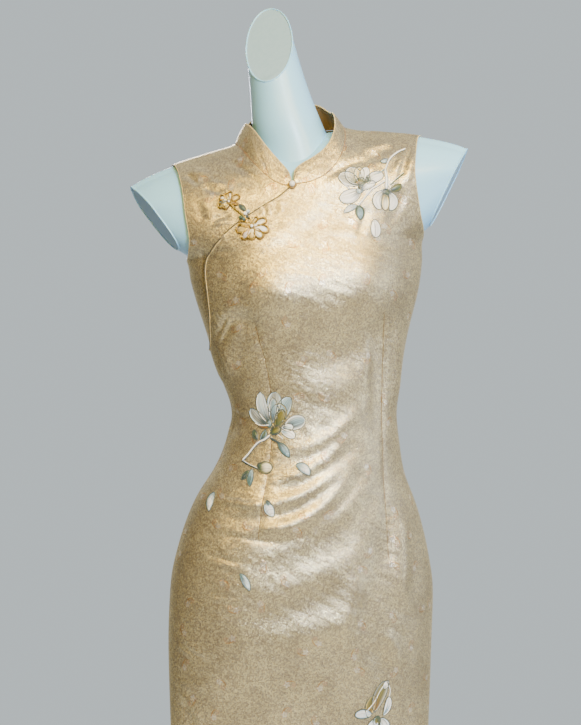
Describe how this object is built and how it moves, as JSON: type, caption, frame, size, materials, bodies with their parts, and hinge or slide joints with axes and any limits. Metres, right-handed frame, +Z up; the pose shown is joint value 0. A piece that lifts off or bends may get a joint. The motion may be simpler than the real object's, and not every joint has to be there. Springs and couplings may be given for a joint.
{
  "type": "cheongsam dress on dress form",
  "caption": "Sleeveless long cheongsam with stand collar, slanted side opening, flower frog and side slits, worn by a limbless dress form on a pole and round base.",
  "frame": {"origin": "centre of the underside of the round base, on the floor", "axes": "+Z up the pole, -Y the way the dress faces, -X the wearer's right, where the dress opens"},
  "size_m": [0.4598, 0.35, 1.6061],
  "materials": {
    "silk": "champagne-gold jacquard silk satin with woven blossoms and embroidered sprays",
    "gold_cord": "gold-wrapped cord and satin petals, hand bent",
    "pearl": "pearl with a soft lustre",
    "form_shell": "semi-gloss bluish-white moulded shell",
    "steel": "brushed steel tube and spun steel plate"
  },
  "bodies": {
    "root": {"front": "silk", "front_underlap": "silk", "back": "silk", "collar": "silk", "button_ring": "gold_cord", "button_pearl": "pearl", "frog_flower_upper": "gold_cord", "frog_stem": "gold_cord", "frog_flower_lower": "gold_cord", "form": "form_shell", "pole": "steel", "base": "steel"}
  },
  "joints": []
}
